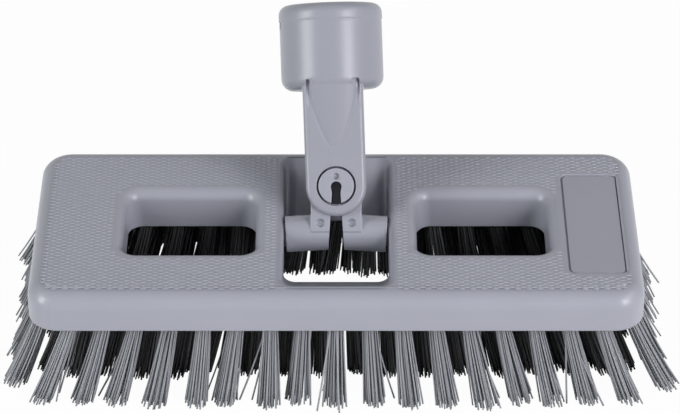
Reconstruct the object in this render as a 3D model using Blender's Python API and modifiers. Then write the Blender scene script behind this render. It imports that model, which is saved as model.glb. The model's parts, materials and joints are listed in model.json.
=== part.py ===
"""Swivel brush: a scrubbing brush whose pole socket tilts and swings on a two-axis joint.

The block carries rows of splayed tufts. A yoke turns on two trunnion pins in the block's centre window
and leans forwards and backwards. The handle neck turns on the yoke's round boss and swings sideways.
All lengths are in metres, +Z is up, and the bristle tips stand on z = 0.
"""
import math

import bmesh
import bpy
from mathutils import Matrix, Vector

# Running gap between neighbouring pieces, and the overrun of every cut
GAP = 0.0003
OVERRUN = 0.0020

# Moulded block
BLOCK_LENGTH = 0.2000
BLOCK_DEPTH = 0.0842
BLOCK_HEIGHT = 0.0140
BLOCK_CORNER = 0.0100
BLOCK_TOP_EDGE = 0.0046
BLOCK_FOOT_EDGE = 0.0008

# Finger windows: the bars of the block around their foot, the lean of their walls, and their rounding
WINDOW_CENTRE_BAR = 0.0095
WINDOW_END_PAD = 0.0300
WINDOW_FRONT_BAR = 0.0255
WINDOW_REAR_BAR = 0.0269
WINDOW_LEAN_X = 0.0004
WINDOW_LEAN_Y = 0.0005
WINDOW_CORNER = 0.0052
WINDOW_RIM = 0.0037

# Centre window, whose front and rear walls slope inwards, so their bars widen from the top down to a
# low upright foot
CENTRE_WIDTH = 0.0348
CENTRE_TOP_BAR = 0.0058
CENTRE_FOOT_BAR = 0.0237
CENTRE_FOOT_HEIGHT = 0.0022
CENTRE_CORNER = 0.0042
CENTRE_RIM = 0.0008

# Bare label recess in the top, right of the windows
LABEL_LENGTH = 0.0186
LABEL_DEPTH = 0.0545
LABEL_CORNER = 0.0025
LABEL_INSET = 0.0009
LABEL_END_INSET = 0.0149
LABEL_OFFSET_Y = -0.0018

# Yoke barrel and its trunnion pins, on the tilt axis
AXIS_BELOW_TOP = 0.0058
BARREL_RADIUS = 0.0060
BARREL_END_GAP = 0.0007
BARREL_RISE = 0.0009
PIN_RADIUS = 0.0040
PIN_REACH = 0.0030

# Yoke legs, boss and keyhole slot
ARM_LENGTH = 0.0159
LEG_HALF_WIDTH = 0.0084
LEG_HALF_DEPTH = 0.0064
LEG_FOOT = 0.0008
BOSS_RADIUS = 0.0062
SLOT_TOP = 0.0015
SLOT_BULB_RADIUS = 0.0016
SLOT_WAIST_HALF_WIDTH = 0.0014
SLOT_WAIST_DROP = 0.0018
SLOT_MOUTH_HALF_WIDTH = 0.0028

# Handle neck, measured along it from the boss
NECK_HALF_WIDTH = 0.0100
NECK_EDGE = 0.0012
CHEEK_THICKNESS = 0.0027
NECK_TAPER_START = 0.0100
NECK_TAPER_END = 0.0360
NECK_TOP_HALF_DEPTH = 0.0137
CAVITY_GAP = 0.0006

# Conical swelling that runs from the socket down the front and the rear of the neck
CONE_START = 0.0135
CONE_START_RADIUS = 0.0105
CONE_END = 0.0364
CONE_SINK = 0.0001
CONE_HALF_WIDTH = 0.0076
GROOVE_START = 0.0270
GROOVE_END = 0.0356
GROOVE_WIDTH = 0.0011
GROOVE_DEPTH = 0.0020

# Pole socket
SOCKET_RADIUS = 0.0170
SOCKET_START = 0.0320
SOCKET_END = 0.0604
SOCKET_FOOT_EDGE = 0.0040
SOCKET_TOP_EDGE = 0.0033
LIP_HEIGHT = 0.0056
LIP_STEP = 0.0002
BORE_MOUTH_RADIUS = 0.0122
BORE_FLOOR_RADIUS = 0.0116
BORE_FLOOR = 0.0350
BORE_CHAMFER = 0.0005
SCREW_HOLE_RADIUS = 0.0013
SCREW_HOLE_DROP = 0.0066
SCREW_HOLE_TURN = math.radians(8)

# Bristles: free length, and the slice of backing that each row is fused to
BRISTLE_LENGTH = 0.0273
SLICE_THICKNESS = 0.0012
SLICE_MARGIN = 0.0022

# Tuft rows, measured inwards from the block's sides and ends
GREY_ROW_INSET = 0.0069
BLACK_ROW_INSET = 0.0149
INNER_ROW_INSET = 0.0220
MIDDLE_ROW_INSET = 0.0202
ROW_END_INSET = 0.0144
END_COLUMN_INSET = 0.0056
END_COLUMN_SIDE_INSET = 0.0133
BLACK_COLUMN_INSETS = (0.0224, 0.0140)

# Grey tufts have a middle strand and a ring, black ones a ring alone
GREY_ROOT_RING = 0.0015
GREY_TIP_RING = 0.0030
GREY_ROOT_STRAND = 0.0006
GREY_TIP_STRAND = 0.0010
BLACK_ROOT_RING = 0.0012
BLACK_TIP_RING = 0.0019
BLACK_ROOT_STRAND = 0.0007
BLACK_TIP_STRAND = 0.0010

# Shares of a tuft's own place by which its tips splay outwards
SPLAY_X_SHARE = 0.115
SPLAY_Y_SHARE = 0.25

# Counts
GREY_ROW_COUNT = 17
BLACK_ROW_COUNT = 16
INNER_ROW_COUNT = 7
MIDDLE_ROW_COUNT = 3
END_COLUMN_COUNT = 7
BLACK_COLUMN_COUNT = 3
GREY_RING_COUNT = 4
BLACK_RING_COUNT = 3
GREY_STRAND_SIDES = 4
BLACK_STRAND_SIDES = 3
ROUND_SIDES = 48
PIN_SIDES = 32
HOLE_SIDES = 16
CORNER_STEPS = 5
EDGE_STEPS = 4

# Angles at rest, and how far the joints turn each way from upright
REST_TILT = math.radians(36)
REST_SWING = math.radians(2)
SWING_LIMIT = math.radians(40)
SHOULDER_MARGIN = math.radians(3)
SHARP_ANGLE = math.radians(35)
FLAT_ANGLE = math.radians(0.5)

# Worked out from the sizes above
SOCKET_BODY_RADIUS = SOCKET_RADIUS - LIP_STEP
UNDERSIDE = BRISTLE_LENGTH
TOP = UNDERSIDE + BLOCK_HEIGHT
AXIS_HEIGHT = TOP - AXIS_BELOW_TOP
WINDOW_INNER_END = CENTRE_WIDTH / 2 + WINDOW_CENTRE_BAR
WINDOW_OUTER_END = BLOCK_LENGTH / 2 - WINDOW_END_PAD
ROW_REACH = BLOCK_LENGTH / 2 - ROW_END_INSET
GREY_ROW_Y = BLOCK_DEPTH / 2 - GREY_ROW_INSET
COLUMN_REACH = BLOCK_DEPTH / 2 - END_COLUMN_SIDE_INSET
CHEEK_INNER = LEG_HALF_DEPTH + GAP
CHEEK_OUTER = CHEEK_INNER + CHEEK_THICKNESS
TIP_RING_REACH = GREY_TIP_RING * math.cos(math.pi / GREY_RING_COUNT) + GREY_TIP_STRAND
TIP_REACH = GREY_ROW_Y * (1 + SPLAY_Y_SHARE) + TIP_RING_REACH

GREY_PLASTIC = ("grey_plastic", (0.34, 0.35, 0.39), 0.42)
GREY_FIBRE = ("grey_fibre", (0.26, 0.28, 0.31), 0.55)
BLACK_FIBRE = ("black_fibre", (0.012, 0.013, 0.016), 0.50)


# Scene helpers

def clear_scene():
    for obj in list(bpy.data.objects):
        bpy.data.objects.remove(obj, do_unlink=True)
    for collection in list(bpy.data.collections):
        bpy.data.collections.remove(collection)


def new_collection(name):
    collection = bpy.data.collections.new(name)
    bpy.context.scene.collection.children.link(collection)
    return collection


def new_empty(name, location, rotation=(0, 0, 0), parent=None):
    """An empty that marks a joint axis or the frame that pieces hang from."""
    empty = bpy.data.objects.new(name, None)
    PARTS.objects.link(empty)
    empty.location = location
    empty.rotation_euler = rotation
    empty.parent = parent
    return empty


def finish_material(obj, finish):
    """Give the piece its own Principled material."""
    name, colour, roughness = finish
    material = bpy.data.materials.new(f"{obj.name}_{name}")
    material.use_nodes = True
    shader = material.node_tree.nodes["Principled BSDF"]
    shader.inputs["Base Color"].default_value = (*colour, 1)
    shader.inputs["Roughness"].default_value = roughness
    shader.inputs["Metallic"].default_value = 0
    obj.data.materials.append(material)


def mesh_object(name, bm, parent):
    """Turn a bmesh into an object in the tools collection, drawn as wire until it is made a part."""
    mesh = bpy.data.meshes.new(name)
    bm.to_mesh(mesh)
    bm.free()
    obj = bpy.data.objects.new(name, mesh)
    TOOLS.objects.link(obj)
    obj.parent = parent
    obj.hide_render = True
    obj.display_type = 'WIRE'
    return obj


def make_part(obj, finish):
    """Move a finished solid from the tools to the parts and shade it."""
    TOOLS.objects.unlink(obj)
    PARTS.objects.link(obj)
    obj.hide_render = False
    obj.display_type = 'TEXTURED'
    obj.data.shade_smooth()
    obj.data.set_sharp_from_angle(angle=SHARP_ANGLE)
    finish_material(obj, finish)
    return obj


def combine(target, tool, operation):
    """Add a Boolean of the tool to the target."""
    modifier = target.modifiers.new(tool.name, 'BOOLEAN')
    modifier.operation = operation
    modifier.solver = 'EXACT'
    modifier.object = tool


# Shape helpers

def box(name, low, high, parent):
    """A cube primitive stretched between two corners."""
    low, high = Vector(low), Vector(high)
    bm = bmesh.new()
    scale = Matrix.Diagonal((*(high - low), 1))
    bmesh.ops.create_cube(bm, size=1, matrix=Matrix.Translation((low + high) / 2) @ scale)
    return mesh_object(name, bm, parent)


def cylinder(name, radius, start, end, parent, sides=ROUND_SIDES):
    """A cylinder primitive whose end faces are centred on two points."""
    start, end = Vector(start), Vector(end)
    axis = end - start
    turn = axis.to_track_quat('Z', 'Y').to_matrix().to_4x4()
    bm = bmesh.new()
    bmesh.ops.create_cone(
        bm, cap_ends=True, segments=sides, radius1=radius, radius2=radius, depth=axis.length,
        matrix=Matrix.Translation((start + end) / 2) @ turn)
    return mesh_object(name, bm, parent)


def arc(centre, radius, start, end, steps):
    """Points of a circular arc in a plane, both ends included."""
    return [
        (centre[0] + radius * math.cos(start + (end - start) * step / steps),
         centre[1] + radius * math.sin(start + (end - start) * step / steps))
        for step in range(steps + 1)]


def rounded_rectangle(half_x, half_y, radius, steps=CORNER_STEPS):
    """Anticlockwise outline of a rectangle with round corners."""
    outline = []
    for quarter, (sign_x, sign_y) in enumerate(((1, 1), (-1, 1), (-1, -1), (1, -1))):
        centre = (sign_x * (half_x - radius), sign_y * (half_y - radius))
        start = quarter * math.pi / 2
        outline += arc(centre, radius, start, start + math.pi / 2, steps)
    return outline


def plate(name, outline, half_thickness, rotation, parent):
    """A flat outline as a filled 2D curve with thickness, made a mesh with whole flat faces."""
    curve = bpy.data.curves.new(name, 'CURVE')
    curve.dimensions = '2D'
    curve.fill_mode = 'BOTH'
    curve.extrude = half_thickness
    spline = curve.splines.new('POLY')
    spline.points.add(len(outline) - 1)
    for point, (x, y) in zip(spline.points, outline):
        point.co = (x, y, 0, 1)
    spline.use_cyclic_u = True
    guide = bpy.data.objects.new(name + "_outline", curve)
    TOOLS.objects.link(guide)
    bpy.context.view_layer.update()
    mesh = bpy.data.meshes.new_from_object(guide.evaluated_get(bpy.context.evaluated_depsgraph_get()))
    bm = bmesh.new()
    bm.from_mesh(mesh)
    bmesh.ops.remove_doubles(bm, verts=bm.verts, dist=GAP / ROUND_SIDES)
    bmesh.ops.dissolve_limit(bm, angle_limit=FLAT_ANGLE, verts=bm.verts, edges=bm.edges)
    bmesh.ops.transform(bm, matrix=rotation, verts=bm.verts)
    bmesh.ops.recalc_face_normals(bm, faces=bm.faces)
    bpy.data.objects.remove(guide, do_unlink=True)
    bpy.data.curves.remove(curve)
    bpy.data.meshes.remove(mesh)
    return mesh_object(name, bm, parent)


def turned(name, profile, parent):
    """A profile of (radius, height) points turned about the piece's own Z axis."""
    bm = bmesh.new()
    points = [bm.verts.new((radius, 0, height)) for radius, height in profile]
    for first, second in zip(points, points[1:]):
        bm.edges.new((first, second))
    obj = mesh_object(name, bm, parent)
    screw = obj.modifiers.new("turn", 'SCREW')
    screw.axis = 'Z'
    screw.angle = math.tau
    screw.steps = ROUND_SIDES
    screw.render_steps = ROUND_SIDES
    screw.use_merge_vertices = True
    screw.merge_threshold = GAP / ROUND_SIDES
    return obj


def lofted(name, sections, parent):
    """A loft through rounded rectangles, each given as (height, half x, half y, corner radius)."""
    bm = bmesh.new()
    rings = []
    for height, half_x, half_y, corner in sections:
        outline = rounded_rectangle(half_x, half_y, corner)
        rings.append([bm.verts.new((x, y, height)) for x, y in outline])
    count = len(rings[0])
    for lower, upper in zip(rings, rings[1:]):
        for index in range(count):
            following = (index + 1) % count
            bm.faces.new((lower[index], lower[following], upper[following], upper[index]))
    bm.faces.new(list(reversed(rings[0])))
    bm.faces.new(rings[-1])
    return mesh_object(name, bm, parent)


# The block

def window_cutter(name, half_foot, foot_height, lean, corner, rim, parent):
    """A window's space: an upright foot, leaning walls, and a rim that rounds over into the top."""

    def section(height, flare):
        rise_share = max(height - foot_height, 0) / (BLOCK_HEIGHT - foot_height)
        half_x, half_y = (half + out * rise_share + flare for half, out in zip(half_foot, lean))
        return UNDERSIDE + height, half_x, half_y, corner + flare

    sections = [section(-OVERRUN, 0), section(foot_height, 0)]
    for outward, upward in arc((0, 0), rim, 0, math.pi / 2, EDGE_STEPS):
        sections.append(section(BLOCK_HEIGHT - rim + upward, rim - outward))
    above = section(BLOCK_HEIGHT, rim)
    sections.append((above[0] + OVERRUN, *above[1:]))
    return lofted(name, sections, parent)


def block_body(parent):
    """The plate itself, with round corners in plan and rounded top and foot edges."""
    outline = rounded_rectangle(BLOCK_LENGTH / 2, BLOCK_DEPTH / 2, BLOCK_CORNER)
    body = plate("brush_block", outline, BLOCK_HEIGHT / 2, Matrix.Identity(4), parent)
    body.location = (0, 0, UNDERSIDE + BLOCK_HEIGHT / 2)
    for name, side, width in (("top_edge", 1, BLOCK_TOP_EDGE), ("foot_edge", -1, BLOCK_FOOT_EDGE)):
        group = body.vertex_groups.new(name=name)
        group.add([v.index for v in body.data.vertices if v.co.z * side > 0], 1, 'REPLACE')
        bevel = body.modifiers.new(name, 'BEVEL')
        bevel.limit_method = 'VGROUP'
        bevel.vertex_group = name
        bevel.width = width
        bevel.segments = EDGE_STEPS
    return body


def block_cutters(parent):
    """Everything that is taken out of the block, apart from the pockets of the bristle rows."""
    cutters = []
    half_depth = BLOCK_DEPTH / 2
    half_window = (
        (WINDOW_OUTER_END - WINDOW_INNER_END) / 2, half_depth - (WINDOW_FRONT_BAR + WINDOW_REAR_BAR) / 2)
    for side, word in ((-1, "left"), (1, "right")):
        window = window_cutter(
            f"{word}_window_space", half_window, 0, (WINDOW_LEAN_X, WINDOW_LEAN_Y), WINDOW_CORNER,
            WINDOW_RIM, parent)
        window.location = (
            side * (WINDOW_OUTER_END + WINDOW_INNER_END) / 2, (WINDOW_FRONT_BAR - WINDOW_REAR_BAR) / 2, 0)
        cutters.append(window)
    cutters.append(window_cutter(
        "centre_window_space", (CENTRE_WIDTH / 2, half_depth - CENTRE_FOOT_BAR), CENTRE_FOOT_HEIGHT,
        (0, CENTRE_FOOT_BAR - CENTRE_TOP_BAR), CENTRE_CORNER, CENTRE_RIM, parent))
    label = plate(
        "label_space", rounded_rectangle(LABEL_LENGTH / 2, LABEL_DEPTH / 2, LABEL_CORNER),
        LABEL_INSET, Matrix.Identity(4), parent)
    label.location = (BLOCK_LENGTH / 2 - LABEL_END_INSET, LABEL_OFFSET_Y, TOP)
    cutters.append(label)
    reach = CENTRE_WIDTH / 2 + PIN_REACH + GAP
    cutters.append(cylinder(
        "trunnion_space", PIN_RADIUS + GAP, (-reach, 0, AXIS_HEIGHT), (reach, 0, AXIS_HEIGHT), parent,
        sides=PIN_SIDES))
    return cutters


# The bristles

def tip_of(root):
    """Where the middle of a tuft meets the floor."""
    x, y = root
    return x * (1 + SPLAY_X_SHARE), y * (1 + SPLAY_Y_SHARE * (y / GREY_ROW_Y) ** 2)


def strand_places(root, ring_count, root_ring, tip_ring, middle):
    """Root and tip points of a tuft's strands, which fan out and never cross."""
    tip = tip_of(root)
    places = [(root, tip)] if middle else []
    for index in range(ring_count):
        angle = math.tau * (index + 0.5) / ring_count
        across, along = math.cos(angle), math.sin(angle)
        places.append((
            (root[0] + root_ring * across, root[1] + root_ring * along),
            (tip[0] + tip_ring * across, tip[1] + tip_ring * along)))
    return places


def add_strand(bm, root, tip, root_radius, tip_radius, sides):
    """One strand: a slanting cone that starts inside the slice and is cut flat on the floor."""
    grip = UNDERSIDE + SLICE_THICKNESS / 2
    lean = Vector((root[0] - tip[0], root[1] - tip[1], UNDERSIDE)) * (grip / UNDERSIDE)
    middle = Vector((tip[0], tip[1], 0)) + lean / 2
    slant = Matrix.Identity(4)
    slant.col[2] = (*lean, 0)
    slant.col[3] = (*middle, 1)
    bmesh.ops.create_cone(
        bm, cap_ends=True, segments=sides, radius1=tip_radius, radius2=root_radius, depth=1,
        matrix=slant)


def bristle_row(name, roots, finish, parent):
    """A row of tufts fused to a slice of backing, and the pocket that the slice needs."""
    low = [min(root[axis] for root in roots) - SLICE_MARGIN for axis in (0, 1)]
    high = [max(root[axis] for root in roots) + SLICE_MARGIN for axis in (0, 1)]
    row = box(name, (*low, UNDERSIDE), (*high, UNDERSIDE + SLICE_THICKNESS), parent)
    pocket = box(
        f"{name}_pocket", (low[0] - GAP, low[1] - GAP, UNDERSIDE - OVERRUN),
        (high[0] + GAP, high[1] + GAP, UNDERSIDE + SLICE_THICKNESS + GAP), parent)
    grey = finish is GREY_FIBRE
    bm = bmesh.new()
    for root in roots:
        if grey:
            places = strand_places(root, GREY_RING_COUNT, GREY_ROOT_RING, GREY_TIP_RING, True)
        else:
            places = strand_places(root, BLACK_RING_COUNT, BLACK_ROOT_RING, BLACK_TIP_RING, False)
        for start, end in places:
            if grey:
                add_strand(bm, start, end, GREY_ROOT_STRAND, GREY_TIP_STRAND, GREY_STRAND_SIDES)
            else:
                add_strand(bm, start, end, BLACK_ROOT_STRAND, BLACK_TIP_STRAND, BLACK_STRAND_SIDES)
    strands = mesh_object(f"{name}_strands", bm, parent)
    combine(row, strands, 'UNION')
    make_part(row, finish)
    return pocket


def spread(count, first, last):
    """Places of a number of tufts, evenly spaced from the first to the last."""
    return [first + (last - first) * index / (count - 1) for index in range(count)]


def bristle_rows():
    """Name, tuft roots and fibre of every row of the brush."""
    rows = []
    pitch = 2 * ROW_REACH / (GREY_ROW_COUNT - 1)
    column_pitch = 2 * COLUMN_REACH / (END_COLUMN_COUNT - 1)
    black_reach = ROW_REACH - pitch / 2
    inner_start = ROW_REACH - pitch * (INNER_ROW_COUNT - 1)
    middle_reach = pitch * (MIDDLE_ROW_COUNT - 1) / 2
    for side, word in ((-1, "front"), (1, "rear")):
        black_y = side * (BLOCK_DEPTH / 2 - BLACK_ROW_INSET)
        inner_y = side * (BLOCK_DEPTH / 2 - INNER_ROW_INSET)
        middle_y = side * (BLOCK_DEPTH / 2 - MIDDLE_ROW_INSET)
        rows.append((
            f"{word}_grey_row",
            [(x, side * GREY_ROW_Y) for x in spread(GREY_ROW_COUNT, -ROW_REACH, ROW_REACH)], GREY_FIBRE))
        rows.append((
            f"{word}_black_row",
            [(x, black_y) for x in spread(BLACK_ROW_COUNT, -black_reach, black_reach)], BLACK_FIBRE))
        rows.append((
            f"{word}_middle_black_row",
            [(x, middle_y) for x in spread(MIDDLE_ROW_COUNT, -middle_reach, middle_reach)], BLACK_FIBRE))
        for end, name in ((-1, "left"), (1, "right")):
            rows.append((
                f"{word}_{name}_black_row",
                [(end * x, inner_y) for x in spread(INNER_ROW_COUNT, inner_start, ROW_REACH)],
                BLACK_FIBRE))
    for end, name in ((-1, "left"), (1, "right")):
        end_x = end * (BLOCK_LENGTH / 2 - END_COLUMN_INSET)
        rows.append((
            f"{name}_end_grey_row",
            [(end_x, y) for y in spread(END_COLUMN_COUNT, -COLUMN_REACH, COLUMN_REACH)], GREY_FIBRE))
        for inset, place in zip(BLACK_COLUMN_INSETS, ("inner", "outer")):
            black_x = end * (BLOCK_LENGTH / 2 - inset)
            rows.append((
                f"{name}_{place}_black_row",
                [(black_x, y) for y in spread(BLACK_COLUMN_COUNT, -column_pitch, column_pitch)],
                BLACK_FIBRE))
    return rows


def brush_block(parent):
    """The block with its windows, label recess and trunnion holes, and all its bristle rows."""
    block = block_body(parent)
    for cutter in block_cutters(parent):
        combine(block, cutter, 'DIFFERENCE')
    for name, roots, finish in bristle_rows():
        combine(block, bristle_row(name, roots, finish, parent), 'DIFFERENCE')
    return make_part(block, GREY_PLASTIC)


# The yoke, in a frame with its origin on the tilt axis and +Z along the handle

FACING = Matrix.Rotation(math.pi / 2, 4, 'X')


def leg_outline():
    """The two legs as one plate, with a round top about the boss."""
    top = arc((0, ARM_LENGTH), LEG_HALF_WIDTH, 0, math.pi, ROUND_SIDES // 2)
    return [(-LEG_HALF_WIDTH, LEG_FOOT), (LEG_HALF_WIDTH, LEG_FOOT)] + top


def slot_outline():
    """Keyhole: a round bulb in the boss, a waist under it, and sides that widen to the barrel's foot."""
    bulb_height = ARM_LENGTH + SLOT_TOP - SLOT_BULB_RADIUS
    foot = -BARREL_RADIUS - OVERRUN
    right = [
        (SLOT_MOUTH_HALF_WIDTH, foot),
        (SLOT_WAIST_HALF_WIDTH, bulb_height - SLOT_WAIST_DROP)]
    bulb = arc((0, bulb_height), SLOT_BULB_RADIUS, 0, math.pi, HOLE_SIDES)
    return right + bulb + [(-x, y) for x, y in reversed(right)]


def swivel_yoke(parent):
    """Split barrel with trunnion pins, legs, and the boss that the neck swings on."""
    yoke = plate("swivel_yoke", leg_outline(), LEG_HALF_DEPTH, FACING, parent)
    outer = CENTRE_WIDTH / 2 - BARREL_END_GAP
    for side, word in ((-1, "left"), (1, "right")):
        combine(yoke, cylinder(
            f"{word}_barrel", BARREL_RADIUS, (0, 0, BARREL_RISE), (side * outer, 0, 0), parent), 'UNION')
        combine(yoke, cylinder(
            f"{word}_pin", PIN_RADIUS, (side * outer / 2, 0, 0),
            (side * (CENTRE_WIDTH / 2 + PIN_REACH), 0, 0), parent, sides=PIN_SIDES), 'UNION')
    combine(yoke, cylinder(
        "boss", BOSS_RADIUS, (0, -CHEEK_OUTER, ARM_LENGTH), (0, CHEEK_OUTER, ARM_LENGTH), parent), 'UNION')
    combine(yoke, plate(
        "keyhole_space", slot_outline(), CHEEK_OUTER + OVERRUN, FACING, parent), 'DIFFERENCE')
    return make_part(yoke, GREY_PLASTIC)


# The handle neck, in a frame with its origin at the middle of the boss and +Z along the handle

def neck_outline():
    """Front view of the neck: straight sides and a round lower end about the boss."""
    top = [(NECK_HALF_WIDTH, NECK_TAPER_END), (-NECK_HALF_WIDTH, NECK_TAPER_END)]
    return top + arc((0, 0), NECK_HALF_WIDTH, math.pi, math.tau, ROUND_SIDES // 2)


def neck_side_outline():
    """Side view of the neck: parallel cheeks that thicken upwards to the socket."""
    slope = (NECK_TOP_HALF_DEPTH - CHEEK_OUTER) / (NECK_TAPER_END - NECK_TAPER_START)
    right = [
        (CHEEK_OUTER, -NECK_HALF_WIDTH - OVERRUN), (CHEEK_OUTER, NECK_TAPER_START),
        (NECK_TOP_HALF_DEPTH + slope * OVERRUN, NECK_TAPER_END + OVERRUN)]
    return right + [(-x, y) for x, y in reversed(right)]


def neck_bar(parent):
    """The solid neck before anything is joined to it or cut from it."""
    bar = plate("handle_neck", neck_outline(), NECK_TOP_HALF_DEPTH + OVERRUN, FACING, parent)
    sideways = Matrix.Rotation(math.pi / 2, 4, 'Z') @ FACING
    combine(bar, plate(
        "neck_side_limit", neck_side_outline(), NECK_HALF_WIDTH + OVERRUN, sideways, parent), 'INTERSECT')
    bevel = bar.modifiers.new("neck_edge", 'BEVEL')
    bevel.width = NECK_EDGE
    bevel.segments = EDGE_STEPS - 1
    bevel.limit_method = 'ANGLE'
    bevel.angle_limit = SHARP_ANGLE
    return bar


def cone_swelling(parent):
    """The cone that carries the socket's round front and rear down onto the neck."""
    cone = turned("cone_swelling", [
        (0, CONE_END), (SOCKET_BODY_RADIUS - CONE_SINK, CONE_END), (CONE_START_RADIUS, CONE_START),
        (0, CONE_START)], parent)
    reach = SOCKET_RADIUS + OVERRUN
    sides = box(
        "cone_side_limit", (-CONE_HALF_WIDTH, -reach, CONE_START - OVERRUN),
        (CONE_HALF_WIDTH, reach, CONE_END + OVERRUN), parent)
    combine(cone, sides, 'INTERSECT')
    return cone


def socket_body(parent):
    """The round socket with its rounded foot, its lip and its rounded top edge."""
    top_edge = arc(
        (SOCKET_RADIUS - SOCKET_TOP_EDGE, SOCKET_END - SOCKET_TOP_EDGE), SOCKET_TOP_EDGE,
        math.pi / 2, 0, EDGE_STEPS)
    foot_edge = arc(
        (SOCKET_BODY_RADIUS - SOCKET_FOOT_EDGE, SOCKET_START + SOCKET_FOOT_EDGE), SOCKET_FOOT_EDGE,
        0, -math.pi / 2, EDGE_STEPS)
    lip_foot = SOCKET_END - LIP_HEIGHT
    lip = [(SOCKET_RADIUS, lip_foot + LIP_STEP), (SOCKET_BODY_RADIUS, lip_foot)]
    return turned(
        "socket_body", [(0, SOCKET_END)] + top_edge + lip + foot_edge + [(0, SOCKET_START)], parent)


def pole_bore(parent):
    """The tapered bore that the pole is pushed into, with a small chamfer at its mouth."""
    above = SOCKET_END + OVERRUN
    return turned("pole_bore", [
        (0, above), (BORE_MOUTH_RADIUS + BORE_CHAMFER + OVERRUN, above),
        (BORE_MOUTH_RADIUS, SOCKET_END - BORE_CHAMFER), (BORE_FLOOR_RADIUS, BORE_FLOOR),
        (0, BORE_FLOOR)], parent)


def leg_space_outline():
    """Front view of the space between the cheeks: round above the boss, open at the sides and below.

    The shoulders at its sides stop the legs where the neck has swung as far as it can.
    """
    radius = LEG_HALF_WIDTH + CAVITY_GAP
    shoulder_angle = SWING_LIMIT + SHOULDER_MARGIN - math.acos(LEG_HALF_WIDTH / radius)
    shoulder = radius * math.sin(shoulder_angle)
    reach = NECK_HALF_WIDTH + OVERRUN
    round_top = arc((0, 0), radius, shoulder_angle, math.pi - shoulder_angle, ROUND_SIDES // 2)
    return [(-reach, -reach), (reach, -reach), (reach, shoulder)] + round_top + [(-reach, shoulder)]


def joint_cutters(parent):
    """The space of the yoke's legs between the cheeks, and the holes that the boss sits in."""
    reach = CHEEK_OUTER + OVERRUN
    return [
        plate("leg_space", leg_space_outline(), CHEEK_INNER, FACING, parent),
        cylinder("boss_space", BOSS_RADIUS + GAP, (0, -reach, 0), (0, reach, 0), parent)]


def groove_cutters(parent):
    """Narrow grooves beside the swelling, where it meets the socket, front and rear."""
    cutters = []
    reach = SOCKET_RADIUS + OVERRUN
    floor = NECK_TOP_HALF_DEPTH - GROOVE_DEPTH
    for side_x, word in ((-1, "left"), (1, "right")):
        for side_y, place in ((-1, "front"), (1, "rear")):
            inner = CONE_HALF_WIDTH - GROOVE_WIDTH
            edges_x = sorted((side_x * inner, side_x * (CONE_HALF_WIDTH + GROOVE_WIDTH)))
            edges_y = sorted((side_y * floor, side_y * reach))
            cutters.append(box(
                f"{place}_{word}_groove", (edges_x[0], edges_y[0], GROOVE_START),
                (edges_x[1], edges_y[1], GROOVE_END), parent))
    return cutters


def handle_neck(parent):
    """Neck, swelling and socket as one moulding, cut for the joint, the pole and its screw."""
    neck = neck_bar(parent)
    combine(neck, socket_body(parent), 'UNION')
    for groove in groove_cutters(parent):
        combine(neck, groove, 'DIFFERENCE')
    combine(neck, cone_swelling(parent), 'UNION')
    for cutter in joint_cutters(parent) + [pole_bore(parent)]:
        combine(neck, cutter, 'DIFFERENCE')
    height = SOCKET_END - SCREW_HOLE_DROP
    across, forwards = math.cos(SCREW_HOLE_TURN), math.sin(SCREW_HOLE_TURN)
    outer = SOCKET_RADIUS + OVERRUN
    inner = BORE_FLOOR_RADIUS - OVERRUN
    combine(neck, cylinder(
        "screw_hole", SCREW_HOLE_RADIUS, (-outer * across, -outer * forwards, height),
        (-inner * across, -inner * forwards, height), parent, sides=HOLE_SIDES), 'DIFFERENCE')
    return make_part(neck, GREY_PLASTIC)


# Placing the pieces

def rearmost_reach():
    """How far back the leaning socket's rounded top edge reaches from the block's middle."""
    along = ARM_LENGTH + SOCKET_END - SOCKET_TOP_EDGE
    across = SOCKET_RADIUS - SOCKET_TOP_EDGE
    return along * math.sin(REST_TILT) + across * math.cos(REST_TILT) + SOCKET_TOP_EDGE


def build_brush():
    middle_y = (rearmost_reach() - TIP_REACH) / 2
    brush_frame = new_empty("brush_frame", (0, -middle_y, 0))
    tilt_axis = new_empty("tilt_axis", (0, 0, AXIS_HEIGHT), (-REST_TILT, 0, 0), brush_frame)
    swing_axis = new_empty("swing_axis", (0, 0, ARM_LENGTH), (0, -REST_SWING, 0), tilt_axis)
    brush_block(brush_frame)
    swivel_yoke(tilt_axis)
    handle_neck(swing_axis)
    bpy.context.view_layer.update()


clear_scene()
PARTS = new_collection("swivel_brush")
TOOLS = new_collection("cutting_tools")
build_brush()
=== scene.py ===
"""Swivel scrubbing brush: mouldings, fibres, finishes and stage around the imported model.

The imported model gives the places: the block's box, the tilt and swing joints, and the socket's rim. The
pieces here are built in the same frame, in metres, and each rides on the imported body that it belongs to.
"""
import json
import random
from math import acos, copysign, cos, exp, hypot, pi, radians, sin, sqrt, tau

import bmesh
import bpy
from bpy.props import FloatProperty, FloatVectorProperty, IntProperty, PointerProperty
from mathutils import Matrix, Vector

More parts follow.
